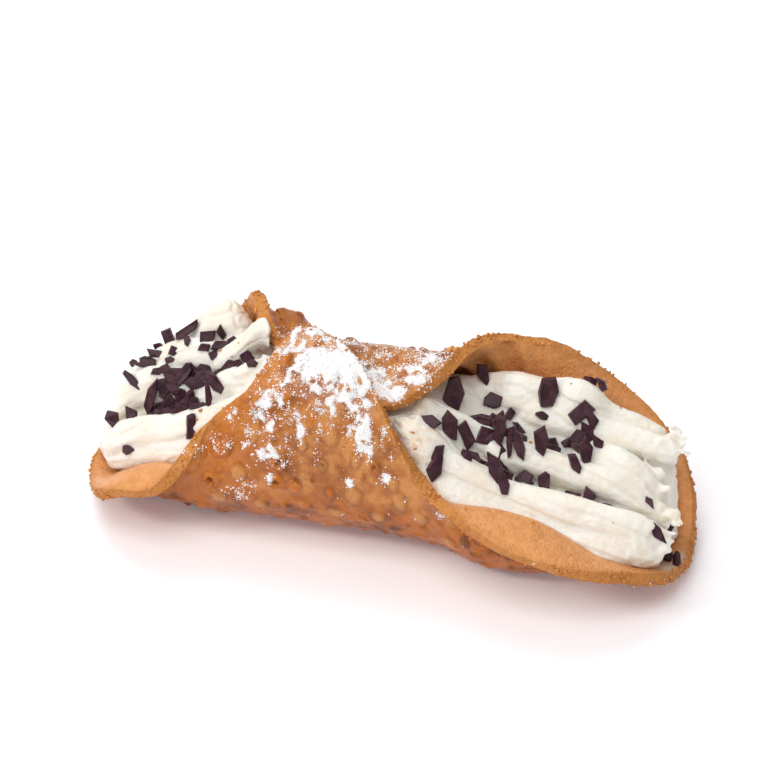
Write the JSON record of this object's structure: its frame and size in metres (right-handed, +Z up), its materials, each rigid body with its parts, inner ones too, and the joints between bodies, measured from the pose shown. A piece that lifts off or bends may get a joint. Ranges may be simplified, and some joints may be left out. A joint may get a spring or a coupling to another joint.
{
  "type": "cannoli",
  "caption": "Filled cannolo: rolled fried pastry shell with flared open ends, full of piped ricotta cream.",
  "frame": {"origin": "middle of the box it fills, on the surface it lies on", "axes": "+X along the roll towards the wider mouth, +Y away from the near lip, +Z up"},
  "size_m": [0.1202, 0.0518, 0.0406],
  "materials": {
    "shell": "satin fried crust",
    "cream": "soft satin"
  },
  "bodies": {
    "root": {"shell": "shell", "filling": "cream"}
  },
  "joints": []
}
